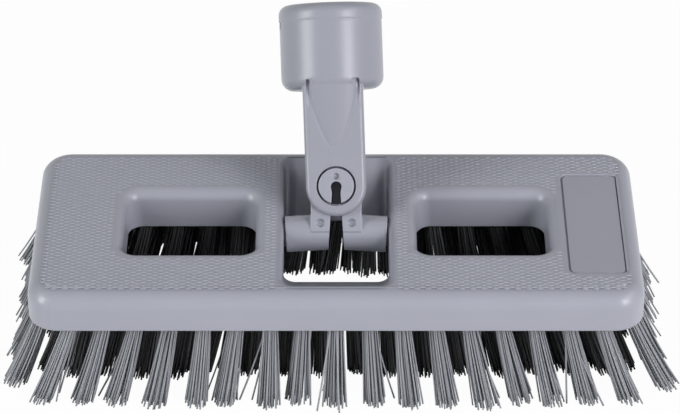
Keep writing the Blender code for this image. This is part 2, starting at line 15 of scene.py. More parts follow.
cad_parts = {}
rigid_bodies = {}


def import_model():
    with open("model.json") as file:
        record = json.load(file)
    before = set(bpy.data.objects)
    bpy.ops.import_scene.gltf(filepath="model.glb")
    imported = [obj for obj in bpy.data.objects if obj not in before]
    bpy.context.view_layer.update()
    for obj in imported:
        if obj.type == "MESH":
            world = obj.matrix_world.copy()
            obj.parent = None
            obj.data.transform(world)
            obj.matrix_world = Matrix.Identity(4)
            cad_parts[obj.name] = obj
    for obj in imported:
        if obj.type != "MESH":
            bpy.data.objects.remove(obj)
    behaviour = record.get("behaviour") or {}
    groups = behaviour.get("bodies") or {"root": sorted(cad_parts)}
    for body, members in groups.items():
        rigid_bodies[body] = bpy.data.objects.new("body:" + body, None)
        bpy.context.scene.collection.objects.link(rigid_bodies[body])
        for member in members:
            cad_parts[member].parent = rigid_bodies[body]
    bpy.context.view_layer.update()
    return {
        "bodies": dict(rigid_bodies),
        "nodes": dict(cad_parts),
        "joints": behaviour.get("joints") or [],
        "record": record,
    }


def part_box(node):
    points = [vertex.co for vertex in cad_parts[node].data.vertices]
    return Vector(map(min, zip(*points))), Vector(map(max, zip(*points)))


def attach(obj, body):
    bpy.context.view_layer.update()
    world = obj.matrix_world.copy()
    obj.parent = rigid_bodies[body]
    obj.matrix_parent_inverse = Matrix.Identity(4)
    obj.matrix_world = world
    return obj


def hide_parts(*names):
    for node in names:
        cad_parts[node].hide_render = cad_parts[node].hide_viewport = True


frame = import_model()

bl_info = {
    "name": "Swivel brush",
    "version": (1, 0, 0),
    "blender": (4, 5, 0),
    "location": "3D View > Sidebar > Brush",
    "description": "Builds the mouldings and fibres of a swivel scrubbing brush on its packed model",
    "category": "Object",
}

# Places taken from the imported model
BLOCK_LOW, BLOCK_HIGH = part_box("brush_block")
JOINTS = {joint["name"]: joint for joint in frame["joints"]}
MOUNTS = {mount["name"]: mount for mount in frame["record"]["mounts"]}
TILT_POINT = Vector(JOINTS["yoke_tilt"]["pos_m"])
SWING_POINT = Vector(JOINTS["neck_swing"]["pos_m"])
SOCKET_POINT = Vector(MOUNTS["socket_rim"]["pos_m"])
HANDLE_AXIS = Vector(MOUNTS["socket_rim"]["axis"]).normalized()
TILT_AXIS = Vector(JOINTS["yoke_tilt"]["axis"]).normalized()
BOSS_AXIS = -Vector(JOINTS["neck_swing"]["axis"]).normalized()
BLOCK_CENTRE = Vector(((BLOCK_LOW.x + BLOCK_HIGH.x) / 2, (BLOCK_LOW.y + BLOCK_HIGH.y) / 2, 0))
BLOCK_LENGTH = BLOCK_HIGH.x - BLOCK_LOW.x
BLOCK_DEPTH = BLOCK_HIGH.y - BLOCK_LOW.y
BLOCK_PLACE = Matrix.Translation(BLOCK_CENTRE)
UNDERSIDE = BLOCK_LOW.z
TOP = BLOCK_HIGH.z
ARM_LENGTH = (SWING_POINT - TILT_POINT).length
AXIS_HEIGHT = TILT_POINT.z
SOCKET_END = (SOCKET_POINT - SWING_POINT).dot(HANDLE_AXIS)

# Clearance between moving pieces, and how far a tool reaches past what it cuts
GAP = 0.0003
OVERRUN = 0.0020

# Block
BLOCK_CORNER = 0.0100
BLOCK_TOP_EDGE = 0.0054
BLOCK_FOOT_EDGE = 0.0008
PAD_RISE = 0.00035
WINDOW_CENTRE_BAR = 0.0095
WINDOW_END_PAD = 0.0300
WINDOW_SIDE_BAR = 0.0262
WINDOW_OFFSET_Y = -0.0007
WINDOW_LEAN = (0.0004, 0.0005)
WINDOW_CORNER = 0.0052
WINDOW_RIM = (0.0036, 0.0038)
CENTRE_WIDTH = 0.0348
CENTRE_TOP_BAR = 0.0058
CENTRE_FOOT_BAR = 0.0237
CENTRE_FOOT_HEIGHT = 0.0022
CENTRE_CORNER = 0.0042
CENTRE_RIM = (0.0020, 0.0010)
UNDER_RIM = 0.0004
LABEL_LENGTH = 0.0192
LABEL_DEPTH = 0.0551
LABEL_CORNER = 0.0025
LABEL_INSET = 0.0009
LABEL_EDGE = 0.0003
LABEL_PANEL_INSET = 0.0003
LABEL_TRENCH = 0.0005
LABEL_END_INSET = 0.0149
LABEL_OFFSET_Y = -0.0015

# Grip pattern on the pads
PAD_INSET = 0.0051
PAD_OFFSET_Y = -0.0009
PAD_CORNER = 0.0056
PAD_CENTRE_GAP = 0.0200
WINDOW_BORDER = 0.0002
LABEL_BORDER = 0.0014
GRAIN_SINK = 0.00006
GRAIN_POINTS = 12
GRAIN_POINTEDNESS = 1.6
GRAIN_SIDE_SHARES = ((0.74, 0.66), (0.36, 1))
GRAIN_STAGGER_SHARE = 0.25

# Yoke
BARREL_RADIUS = 0.0060
BARREL_END_GAP = 0.0007
BARREL_RISE = 0.0009
PIN_RADIUS = 0.0040
PIN_REACH = 0.0030
LEG_HALF_WIDTH = 0.0084
LEG_HALF_DEPTH = 0.0064
LEG_FOOT = 0.0008
BOSS_RADIUS = 0.0059
BOSS_HOLE_RADIUS = 0.0065
SLOT_TOP = 0.0015
SLOT_BULB_RADIUS = 0.0018
SLOT_WAIST_HALF_WIDTH = 0.0014
SLOT_WAIST_DROP = 0.0018
SLOT_MOUTH_HALF_WIDTH = 0.0028
MARK_OFFSET_X = 0.0052
MARK_HEIGHT = 0.0037
MARK_RADIUS = 0.0014
DISC_MARK_HEIGHT = 0.0032
DISC_MARK_RADIUS = 0.0011
MARK_DEPTH = 0.0011
MARK_WALL = 0.0003

# Handle neck and socket, with heights along the handle from the boss
NECK_HALF_WIDTH = 0.0100
NECK_EDGE = 0.0016
CHEEK_THICKNESS = 0.0027
CHEEK_INNER = LEG_HALF_DEPTH + GAP
CHEEK_OUTER = CHEEK_INNER + CHEEK_THICKNESS
NECK_TAPER_START = 0.0100
NECK_TAPER_END = 0.0360
NECK_TOP_HALF_DEPTH = 0.0137
NECK_SLOPE = (NECK_TOP_HALF_DEPTH - CHEEK_OUTER) / (NECK_TAPER_END - NECK_TAPER_START)
CAVITY_GAP = 0.0006
CONE_START = 0.0135
CONE_START_RADIUS = 0.0101
CONE_END = 0.0364
CONE_HALF_WIDTH = 0.0076
GROOVE_START = 0.0240
GROOVE_END = 0.0352
GROOVE_WIDTH = 0.0011
GROOVE_DEPTH = 0.0009
SOCKET_RADIUS = 0.0172
SOCKET_START = 0.0320
SOCKET_FOOT_EDGE = 0.0040
SOCKET_TOP_EDGE = 0.0033
LIP_HEIGHT = 0.0056
LIP_FOOT = SOCKET_END - LIP_HEIGHT
LIP_STEP = 0.0002
SOCKET_BODY_RADIUS = SOCKET_RADIUS - LIP_STEP
LIP_CREASE_DEPTH = 0.00011
LIP_CREASE_WIDTH = 0.00038
LIP_CREASE_REACH = 4 * LIP_CREASE_WIDTH
SEAM_DEPTH = 0.00016
SEAM_WIDTH = 0.00050
BORE_MOUTH_RADIUS = 0.0122
BORE_FLOOR_RADIUS = 0.0116
BORE_FLOOR = 0.0350
BORE_CHAMFER = 0.0005
SCREW_HOLE_RADIUS = 0.0013
SCREW_HOLE_DROP = 0.0066
SCREW_HOLE_TURN = radians(8)
SHOULDER_ANGLE = radians(43)

# Tuft rows, measured inwards from the block's sides and ends
GREY_ROW_INSET = 0.0069
BLACK_ROW_INSET = 0.0149
INNER_ROW_INSET = 0.0220
MIDDLE_ROW_INSET = 0.0202
ROW_END_INSET = 0.0144
END_COLUMN_INSET = 0.0056
END_COLUMN_SIDE_INSET = 0.0133
BLACK_COLUMN_INSETS = {"inner": 0.0224, "outer": 0.0140}
GREY_ROW_COUNT = 17
BLACK_ROW_COUNT = 16
INNER_ROW_COUNT = 7
MIDDLE_ROW_COUNT = 3
ROW_REACH = BLOCK_LENGTH / 2 - ROW_END_INSET
TUFT_PITCH = 2 * ROW_REACH / (GREY_ROW_COUNT - 1)
COLUMN_REACH = BLOCK_DEPTH / 2 - END_COLUMN_SIDE_INSET
END_COLUMN_COUNT = 7
BLACK_COLUMN_COUNT = 3

# Splay and lean of the tufts, from their roots to the floor
SPLAY_X_SHARE = 0.115
COLUMN_SPLAY_SHARE = 0.25
GREY_SPLAY = 0.0094
BLACK_SPLAY = 0.0008
INNER_SPLAY = 0.0052
END_GREY_SHARE = 0.20
FIRST_TUFT_LEAN = 0.0030
CORNER_SPLAY = 0.0030
END_HOLD = 0.0014
MIDDLE_LEAN = -0.0030

# Fibres of a tuft
GREY_RADII = {"root": 0.0023, "tip": 0.0040}
BLACK_RADII = {"root": 0.0025, "tip": 0.0037}
TUFT_SWAY = 0.0009
STRAY_SHARE = 0.08
STRAY_REACH = 9
BLACK_STRAY_SHARE = 0.3
SHORT_SHARE = 0.04
SHORT_BY_SHARES = (0.02, 0.12)
BOW_SHARE = 0.08
BOW_STRAY_SHARE = 0.3
WIDTH_SHARES = (0.88, 1.12)
FIBRE_ROOT_DEPTH = 0.0010
FIBRE_STEPS = 5
FIBRE_SIDES = 5
GOLDEN_ANGLE = pi * (3 - sqrt(5))

# Smoothness and density of the mouldings' skins
CORNER_STEPS = 12
EDGE_STEPS = 7
ROUND_SIDES = 96
SHARP_ANGLE = radians(30)
SKIN_SMOOTHING = 0.5
SKIN_SMOOTHING_ROUNDS = 2
KEPT_FACE_SHARE = 0.4
YOKE_VOXEL_SHARE = 0.75

# Directions, by the words in the names of pieces
SIDES = {"front": -1, "rear": 1}
ENDS = {"left": -1, "right": 1}
FACING = Matrix.Rotation(pi / 2, 4, 'X')
SIDEWAYS = Matrix.Rotation(pi / 2, 4, 'Z') @ FACING

# Finishes, with the scales of their noise in features to the metre, and palenesses that paint light
# Painted light: the block and the yoke get paler copies of the one grey plastic, for light that the lamps
# do not give them
BLOCK_PAINTED_LIGHT_PALENESS = 1.12
YOKE_PAINTED_LIGHT_PALENESS = 1.10
# Painted highlight: the grains are paler than the pads, as if their crests catch the light
GRAIN_PAINTED_HIGHLIGHT_PALENESS = 1.26
TONE_SPREAD = 0.06
CLOUD_SHARE = 0.7
SPECKLE_RELIEF = 0.12
SWELL_RELIEF = 0.5
ROUGHNESS_SPREAD = 0.06
CLOUD_SCALE = 38
SWELL_SCALE = 150
SPECKLE_SCALE = 2600
STREAK_SCALE = 1800
STREAK_STRETCH = (1, 1, 0.06)
STREAK_ROUGHNESS = 0.10
# How sharply and how much painted light brightens a fibre towards its tip
TIP_SHARPNESS = 6
OWN_TONE_SHARE = 0.84
STREAK_SHARE = 0.08
TIP_PAINTED_LIGHT_SHARE = 0.08

# Camera
CAMERA_PITCH = radians(36)
CAMERA_DISTANCE = 1.042
CAMERA_AIM = Vector((0.00125, BLOCK_CENTRE.y, 0.0468))
CAMERA_LENS = 167.03
CAMERA_SENSOR = 36
CAMERA_CLIP = (0.05, 20)


# Settings that a user would change

class MouldingSettings(bpy.types.PropertyGroup):
    plastic: FloatVectorProperty(
        name="Plastic", description="Colour of the moulded grey plastic", subtype='COLOR', size=3,
        min=0, max=1, default=(0.330, 0.341, 0.392))
    roughness: FloatProperty(
        name="Roughness", description="Roughness of the moulded plastic", min=0, max=1,
        subtype='FACTOR', default=0.31)
    grain_pitch: FloatProperty(
        name="Grain Pitch", description="Distance between grains along a row of the grip pattern",
        unit='LENGTH', min=0.001, default=0.0036)
    grain_row_pitch: FloatProperty(
        name="Grain Row Pitch", description="Distance between rows of the grip pattern",
        unit='LENGTH', min=0.0003, default=0.00089)
    grain_length: FloatProperty(
        name="Grain Length", description="Length of one grain of the grip pattern",
        unit='LENGTH', min=0.0005, default=0.0024)
    grain_width: FloatProperty(
        name="Grain Width", description="Width of one grain of the grip pattern",
        unit='LENGTH', min=0.0002, default=0.0011)
    grain_height: FloatProperty(
        name="Grain Height", description="How far a grain stands proud of the pad",
        unit='LENGTH', min=0, default=0.00016)
    voxel: FloatProperty(
        name="Voxel", description="Voxel size that the neck and yoke are fused at",
        unit='LENGTH', min=0.0001, default=0.00024)


class FibreSettings(bpy.types.PropertyGroup):
    grey: FloatVectorProperty(
        name="Grey Fibre", description="Colour of the grey fibres", subtype='COLOR', size=3,
        min=0, max=1, default=(0.320, 0.333, 0.355))
    black: FloatVectorProperty(
        name="Black Fibre", description="Colour of the black fibres", subtype='COLOR', size=3,
        min=0, max=1, default=(0.115, 0.117, 0.121))
    grey_count: IntProperty(
        name="Grey Fibres", description="Fibres in a grey tuft", min=5, max=80, default=47)
    black_count: IntProperty(
        name="Black Fibres", description="Fibres in a black tuft", min=5, max=80, default=40)
    width: FloatProperty(
        name="Fibre Width", description="Thickness of one fibre", unit='LENGTH', min=0.0001,
        default=0.00060)
    unevenness: FloatProperty(
        name="Unevenness", description="How far a fibre's tip strays from its place in the tuft",
        unit='LENGTH', min=0, default=0.00028)


class StageSettings(bpy.types.PropertyGroup):
    left_power: FloatProperty(
        name="Left Power", description="Power of the tall lamp at the left", unit='POWER', min=0,
        default=10.2)
    right_power: FloatProperty(
        name="Right Power", description="Power of the tall lamp at the right", unit='POWER', min=0,
        default=12.9)
    upper_left_power: FloatProperty(
        name="Upper Left Power", description="Power of the lamp high at the left", unit='POWER',
        min=0, default=2.8)
    upper_right_power: FloatProperty(
        name="Upper Right Power", description="Power of the lamp high at the right", unit='POWER',
        min=0, default=4.2)
    ambient: FloatProperty(
        name="Ambient", description="Strength of the even light from all round", min=0, default=0.02)
    floor_whiteness: FloatProperty(
        name="Floor Whiteness", description="Share of pure white in the floor as the camera sees it",
        subtype='FACTOR', min=0, max=1, default=0.97)
    floor_glow: FloatProperty(
        name="Floor Glow", description="Share of pure white in the floor as it lights the brush",
        subtype='FACTOR', min=0, max=1, default=0.10)


# Shader maths

class Socket:
    """A number in a node tree, so that shader maths reads as an expression."""

    def __init__(self, nodes, source):
        self.nodes = nodes
        self.source = source

    def __add__(self, other):
        return self.nodes.maths('ADD', self, other)

    __radd__ = __add__

    def __sub__(self, other):
        return self.nodes.maths('SUBTRACT', self, other)

    def __rsub__(self, other):
        return self.nodes.maths('SUBTRACT', other, self)

    def __mul__(self, other):
        return self.nodes.maths('MULTIPLY', self, other)

    __rmul__ = __mul__

    def __truediv__(self, other):
        return self.nodes.maths('DIVIDE', self, other)

    def __rtruediv__(self, other):
        return self.nodes.maths('DIVIDE', other, self)


class Nodes:
    """The node tree of a material or of the world."""

    def __init__(self, owner):
        owner.use_nodes = True
        self.tree = owner.node_tree
        self.tree.nodes.clear()

    def add(self, kind, settings=None, values=None):
        """A node of a kind: its settings first, then the values or links of its sockets."""
        node = self.tree.nodes.new(kind)
        for name, value in (settings or {}).items():
            setattr(node, name, value)
        for name, value in (values or {}).items():
            if isinstance(value, Socket):
                value = value.source
            if isinstance(value, bpy.types.NodeSocket):
                self.tree.links.new(value, node.inputs[name])
            else:
                node.inputs[name].default_value = value
        return node

    def maths(self, operation, first, second):
        node = self.add('ShaderNodeMath', {"operation": operation}, {0: first, 1: second})
        return Socket(self, node.outputs[0])

    def blend(self, factor, first, second):
        """A colour between two colours."""
        node = self.add('ShaderNodeMix', {"data_type": 'RGBA'}, {0: factor, 6: first, 7: second})
        return node.outputs[2]

    def noise(self, position, scale, detail):
        """Smooth random numbers about 0.5, with so many features to the metre."""
        values = {"Vector": position, "Scale": scale, "Detail": detail}
        return Socket(self, self.add('ShaderNodeTexNoise', None, values).outputs["Fac"])

    def attribute(self, name):
        """A number that the mesh itself carries at its points."""
        return Socket(self, self.add('ShaderNodeAttribute', {"attribute_name": name}).outputs["Fac"])

    def finish(self, shader, kind='ShaderNodeOutputMaterial'):
        self.add(kind, None, {"Surface": shader.outputs[0]})


def shade(colour, factor):
    """A colour made lighter or darker, as the four numbers of a colour socket."""
    return (*(min(part * factor, 1) for part in colour), 1)


def moulded_plastic(name, settings, paleness=1):
    """Satin moulded plastic: faint clouds of tone, a fine grain and soft unevenness."""
    # A paleness above 1 makes a paler copy of the same plastic, which paints light onto the piece
    colour = [part * paleness for part in settings.plastic]
    material = bpy.data.materials.new(name)
    nodes = Nodes(material)
    place = nodes.add('ShaderNodeTexCoord').outputs["Object"]
    clouds = nodes.noise(place, CLOUD_SCALE, detail=3)
    speckle = nodes.noise(place, SPECKLE_SCALE, detail=1)
    swell = nodes.noise(place, SWELL_SCALE, detail=2)
    tone = clouds * CLOUD_SHARE + speckle * (1 - CLOUD_SHARE)
    base = nodes.blend(tone, shade(colour, 1 - TONE_SPREAD), shade(colour, 1 + TONE_SPREAD))
    rough = settings.roughness - ROUGHNESS_SPREAD + clouds * ROUGHNESS_SPREAD + speckle * ROUGHNESS_SPREAD
    height = speckle * SPECKLE_RELIEF + swell * SWELL_RELIEF
    bump = nodes.add('ShaderNodeBump', None, {"Strength": 0.35, "Distance": 0.0002, "Height": height})
    nodes.finish(nodes.add('ShaderNodeBsdfPrincipled', None, {
        "Base Color": base, "Roughness": rough, "Normal": bump.outputs[0], "IOR": 1.49}))
    return material


def drawn_fibre(name, colour, spread, roughness, shine):
    """Drawn plastic fibre: every fibre its own tone, fine length streaks, and painted light that makes it
    paler towards its tip.
    """
    material = bpy.data.materials.new(name)
    nodes = Nodes(material)
    place = nodes.add('ShaderNodeTexCoord').outputs["Object"]
    stretched = nodes.add('ShaderNodeVectorMath', {"operation": 'MULTIPLY'}, {
        0: place, 1: STREAK_STRETCH}).outputs[0]
    streak = nodes.noise(stretched, STREAK_SCALE, detail=2)
    # Painted light: paler towards the tip, which leaves the fibres darker near the block where its shade
    # falls
    tip = nodes.maths('POWER', nodes.attribute("along"), TIP_SHARPNESS)
    level = nodes.attribute("tone") * OWN_TONE_SHARE + streak * STREAK_SHARE + tip * TIP_PAINTED_LIGHT_SHARE
    base = nodes.blend(level, shade(colour, 1 - spread), shade(colour, 1 + spread))
    rough = roughness - STREAK_ROUGHNESS / 2 + streak * STREAK_ROUGHNESS
    bump = nodes.add('ShaderNodeBump', None, {"Strength": 0.10, "Distance": 0.0001, "Height": streak})
    nodes.finish(nodes.add('ShaderNodeBsdfPrincipled', None, {
        "Base Color": base, "Roughness": rough, "Normal": bump.outputs[0], "IOR": 1.50,
        "Specular IOR Level": shine}))
    return material


# Mesh helpers

def clear_scene():
    """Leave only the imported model."""
    keep = set(frame["bodies"].values()) | set(frame["nodes"].values())
    for obj in list(bpy.data.objects):
        if obj not in keep:
            bpy.data.objects.remove(obj, do_unlink=True)


def put(name, data, matrix=Matrix()):
    """An object of the scene that shows a mesh, a lamp or a camera."""
    obj = bpy.data.objects.new(name, data)
    bpy.context.scene.collection.objects.link(obj)
    obj.matrix_world = matrix
    return obj


def mesh_object(name, bm, matrix=Matrix()):
    """Turn a bmesh into an object of the scene, with its faces outwards."""
    bmesh.ops.recalc_face_normals(bm, faces=bm.faces)
    mesh = bpy.data.meshes.new(name)
    bm.to_mesh(mesh)
    bm.free()
    return put(name, mesh, matrix)


def settle(obj):
    """Apply an object's modifiers and remove the tools that they used."""
    bpy.context.view_layer.update()
    tools = [modifier.object for modifier in obj.modifiers if modifier.type == 'BOOLEAN']
    mesh = bpy.data.meshes.new_from_object(obj.evaluated_get(bpy.context.evaluated_depsgraph_get()))
    obj.modifiers.clear()
    old = obj.data
    obj.data = mesh
    bpy.data.meshes.remove(old)
    mesh.name = obj.name
    for tool in tools:
        bpy.data.objects.remove(tool, do_unlink=True)
    return obj


def modify(obj, name, kind, **settings):
    """Give an object a modifier with its settings."""
    modifier = obj.modifiers.new(name, kind)
    for setting, value in settings.items():
        setattr(modifier, setting, value)


def combine(target, operation, *tools):
    """Join each tool to the target, or cut it or limit it by each."""
    for tool in tools:
        modify(target, tool.name, 'BOOLEAN', operation=operation, solver='EXACT', object=tool)
        tool.matrix_world = target.matrix_world
    return settle(target)


def fuse(obj, voxel):
    """Fuse a moulding's bodies into one skin, with the soft edges that a mould gives."""
    modify(obj, "fuse", 'REMESH', mode='VOXEL', voxel_size=voxel)
    modify(obj, "round", 'SMOOTH', factor=SKIN_SMOOTHING, iterations=SKIN_SMOOTHING_ROUNDS)
    settle(obj)


def finish_skin(obj, place):
    """Thin out a fused skin's dense mesh, shade it smooth and put it in its place."""
    modify(obj, "lighten", 'DECIMATE', ratio=KEPT_FACE_SHARE)
    settle(obj).data.shade_smooth()
    obj.matrix_world = place
    return obj


def smooth_shading(obj):
    """Smooth shading with sharp edges kept and flat faces flat."""
    obj.data.shade_smooth()
    obj.data.set_sharp_from_angle(angle=SHARP_ANGLE)
    modify(obj, "flat_faces", 'WEIGHTED_NORMAL', keep_sharp=True)
    return settle(obj)


def dress(obj, material, body, slot, *nodes):
    """Give a piece its material, its body and the nodes it stands for; the slot is not used."""
    obj.data.materials.append(material)
    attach(obj, body)
    if nodes:
        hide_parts(*nodes)


def cylinder(name, radius, start, end):
    """A cylinder whose end faces are centred on two points."""
    start, end = Vector(start), Vector(end)
    axis = end - start
    turn = axis.to_track_quat('Z', 'Y').to_matrix().to_4x4()
    bm = bmesh.new()
    bmesh.ops.create_cone(
        bm, cap_ends=True, segments=ROUND_SIDES, radius1=radius, radius2=radius, depth=axis.length,
        matrix=Matrix.Translation((start + end) / 2) @ turn)
    return mesh_object(name, bm)


def arc(centre, radius, start, end, steps):
    """Points of a circular arc in a plane, both ends included."""
    return [
        (centre[0] + radius * cos(start + (end - start) * step / steps),
         centre[1] + radius * sin(start + (end - start) * step / steps))
        for step in range(steps + 1)]


def rounded_rectangle(half_x, half_y, radius):
    """Anticlockwise outline of a rectangle with round corners."""
    outline = []
    for quarter, (sign_x, sign_y) in enumerate(((1, 1), (-1, 1), (-1, -1), (1, -1))):
        centre = (sign_x * (half_x - radius), sign_y * (half_y - radius))
        start = quarter * pi / 2
        outline += arc(centre, radius, start, start + pi / 2, CORNER_STEPS)
    return outline


def vertex_loop(bm, outline, height, centre=(0, 0)):
    """A loop of vertices on an outline."""
    return [bm.verts.new((centre[0] + x, centre[1] + y, height)) for x, y in outline]


def skin(bm, loops, outward=True):
    """Faces between loops that follow each other upwards; a loop of one vertex closes them."""
    for lower, upper in zip(loops, loops[1:]):
        count = max(len(lower), len(upper))
        for index in range(count):
            following = (index + 1) % count
            corners = list(dict.fromkeys((
                lower[index % len(lower)], lower[following % len(lower)],
                upper[following % len(upper)], upper[index % len(upper)])))
            bm.faces.new(corners if outward else reversed(corners))


def slab(name, outline, half_thickness, rotation):
    """A flat outline given thickness to both sides."""
    bm = bmesh.new()
    lower, upper = (vertex_loop(bm, outline, height) for height in (-half_thickness, half_thickness))
    skin(bm, (lower, upper))
    bm.faces.new(list(reversed(lower)))
    bm.faces.new(upper)
    bmesh.ops.transform(bm, matrix=rotation, verts=bm.verts)
    return mesh_object(name, bm)


def turned(name, profile):
    """A closed solid: a profile of (radius, height) points from axis to axis, turned about Z."""
    bm = bmesh.new()
    loops = []
    for radius, height in profile:
        circle = arc((0, 0), radius, 0, tau, ROUND_SIDES)[:-1] if radius else [(0, 0)]
        loops.append(vertex_loop(bm, circle, height))
    skin(bm, loops)
    return mesh_object(name, bm)


# The block, in a frame with its origin on the floor under its middle

WINDOW_INNER_END = CENTRE_WIDTH / 2 + WINDOW_CENTRE_BAR
WINDOW_OUTER_END = BLOCK_LENGTH / 2 - WINDOW_END_PAD
WINDOW_OFFSET = (WINDOW_OUTER_END + WINDOW_INNER_END) / 2
WINDOW_HALF = ((WINDOW_OUTER_END - WINDOW_INNER_END) / 2, BLOCK_DEPTH / 2 - WINDOW_SIDE_BAR)
CENTRE_HALF = (CENTRE_WIDTH / 2, BLOCK_DEPTH / 2 - CENTRE_FOOT_BAR)
CENTRE_LEAN = (0, CENTRE_FOOT_BAR - CENTRE_TOP_BAR)
LABEL_CENTRE = (BLOCK_LENGTH / 2 - LABEL_END_INSET, LABEL_OFFSET_Y)


def ring(bm, half_x, half_y, corner, height, centre=(0, 0)):
    """A loop of vertices on a rounded rectangle."""
    return vertex_loop(bm, rounded_rectangle(half_x, half_y, corner), height, centre)


def block_side(bm):
    """The block's side: its foot edge, its top edge and the fine step up to the pads."""
    foot = arc((BLOCK_FOOT_EDGE, BLOCK_FOOT_EDGE), BLOCK_FOOT_EDGE, -pi / 2, -pi, EDGE_STEPS)
    top = arc(
        (BLOCK_TOP_EDGE, TOP - UNDERSIDE - PAD_RISE - BLOCK_TOP_EDGE), BLOCK_TOP_EDGE, pi,
        pi / 2, EDGE_STEPS * 2)
    top.append((BLOCK_TOP_EDGE + PAD_RISE, TOP - UNDERSIDE))
    loops = [
        ring(
            bm, BLOCK_LENGTH / 2 - inset, BLOCK_DEPTH / 2 - inset, BLOCK_CORNER - inset,
            UNDERSIDE + rise)
        for inset, rise in foot + top]
    skin(bm, loops)
    return loops[0], loops[-1]


def window_wall(bm, half_foot, foot_height, lean, corner, rim, centre=(0, 0)):
    """A window's wall: a small edge, an upright foot, a lean outwards and a rounded rim above."""
    height = TOP - UNDERSIDE
    below = arc((0, UNDER_RIM), UNDER_RIM, -pi / 2, 0, EDGE_STEPS)
    above = arc((0, height - max(rim)), max(rim), 0, pi / 2, EDGE_STEPS * 2)
    steps = [(UNDER_RIM - outward, UNDER_RIM - outward, rise) for outward, rise in below]
    if foot_height:
        steps.append((0, 0, foot_height))
    for outward, rise in above:
        share = 1 - outward / max(rim)
        steps.append((rim[0] * share, rim[1] * share, rise))
    loops = []
    for flare_x, flare_y, rise in steps:
        share = max(rise - foot_height, 0) / (height - foot_height)
        half_x = half_foot[0] + lean[0] * share + flare_x
        half_y = half_foot[1] + lean[1] * share + flare_y
        loops.append(ring(
            bm, half_x, half_y, corner + (flare_x + flare_y) / 2, UNDERSIDE + rise, centre))
    skin(bm, loops, outward=False)
    return loops[0], loops[-1]


def label_recess(bm):
    """The bare recess: a fine rounded edge, a narrow trench and a flat panel."""
    steps = [(LABEL_EDGE - inward, -drop) for inward, drop in arc(
        (0, LABEL_EDGE), LABEL_EDGE, -pi / 2, 0, EDGE_STEPS // 2)]
    steps += [
        (0, -LABEL_INSET + LABEL_EDGE), (-LABEL_EDGE / 2, -LABEL_INSET),
        (-LABEL_TRENCH, -LABEL_INSET), (-LABEL_TRENCH - LABEL_EDGE, -LABEL_PANEL_INSET)]
    loops = [
        ring(
            bm, LABEL_LENGTH / 2 + flare, LABEL_DEPTH / 2 + flare, LABEL_CORNER + flare, TOP + rise,
            LABEL_CENTRE)
        for flare, rise in reversed(steps)]
    skin(bm, loops, outward=False)
    bm.faces.new(loops[0])
    return loops[-1]


def fill_between(bm, loops, normal):
    """A flat face with holes, between one outer loop and the loops inside it."""
    edges = [bm.edges.get(ends) for loop in loops for ends in zip(loop[-1:] + loop, loop)]
    bmesh.ops.triangle_fill(bm, use_beauty=True, edges=edges, normal=normal)


def block_moulding():
    """The whole block with its windows, label recess and trunnion holes."""
    bm = bmesh.new()
    walls = [block_side(bm)]
    for side in ENDS.values():
        walls.append(window_wall(
            bm, WINDOW_HALF, 0, WINDOW_LEAN, WINDOW_CORNER, WINDOW_RIM,
            (side * WINDOW_OFFSET, WINDOW_OFFSET_Y)))
    walls.append(window_wall(
        bm, CENTRE_HALF, CENTRE_FOOT_HEIGHT, CENTRE_LEAN, CENTRE_CORNER, CENTRE_RIM))
    unders, overs = zip(*walls)
    fill_between(bm, (*overs, label_recess(bm)), (0, 0, 1))
    fill_between(bm, unders, (0, 0, -1))
    block = mesh_object("block_moulding", bm, BLOCK_PLACE)
    reach = CENTRE_WIDTH / 2 + PIN_REACH + GAP
    combine(block, 'DIFFERENCE', cylinder(
        "trunnion_space", PIN_RADIUS + GAP, (-reach, 0, AXIS_HEIGHT), (reach, 0, AXIS_HEIGHT)))
    return smooth_shading(block)


def outside(x, y, half_x, half_y, corner, centre):
    """Distance of a point outside a rounded rectangle, negative inside it."""
    over_x = abs(x - centre[0]) - half_x + corner
    over_y = abs(y - centre[1]) - half_y + corner
    return hypot(max(over_x, 0), max(over_y, 0)) + min(max(over_x, over_y), 0) - corner


def on_pad(x, y):
    """Whether a grain belongs there: on the flat top, clear of windows, label and middle."""
    half_window = [sum(sizes) for sizes in zip(WINDOW_HALF, WINDOW_LEAN, WINDOW_RIM)]
    window = (copysign(WINDOW_OFFSET, x), WINDOW_OFFSET_Y)
    half_pad = (BLOCK_LENGTH / 2 - PAD_INSET, BLOCK_DEPTH / 2 - PAD_INSET)
    return (
        outside(x, y, *half_pad, PAD_CORNER, (0, PAD_OFFSET_Y)) < 0
        and abs(x) > PAD_CENTRE_GAP
        and outside(x, y, *half_window, WINDOW_CORNER + max(WINDOW_RIM), window) > WINDOW_BORDER
        and outside(x, y, LABEL_LENGTH / 2, LABEL_DEPTH / 2, LABEL_CORNER, LABEL_CENTRE)
        > LABEL_BORDER)


def grain_outline():
    """Outline of a grain with a half length and a half width of 1, pointed at its ends."""
    return [
        [copysign(abs(part) ** GRAIN_POINTEDNESS, part) for part in point]
        for point in arc((0, 0), 1, 0, tau, GRAIN_POINTS)[:-1]]


def add_grain(bm, outline, x, y, settings):
    """One raised grain, a diamond with soft sides."""
    half_length, half_width = settings.grain_length / 2, settings.grain_width / 2
    levels = [(1, -GRAIN_SINK)]
    levels += [(share, settings.grain_height * rise) for share, rise in GRAIN_SIDE_SHARES]
    loops = [
        vertex_loop(
            bm, [(along * half_length * share, across * half_width * share) for along, across in outline],
            TOP + rise, (x, y))
        for share, rise in levels]
    skin(bm, loops)
    bm.faces.new(loops[-1])


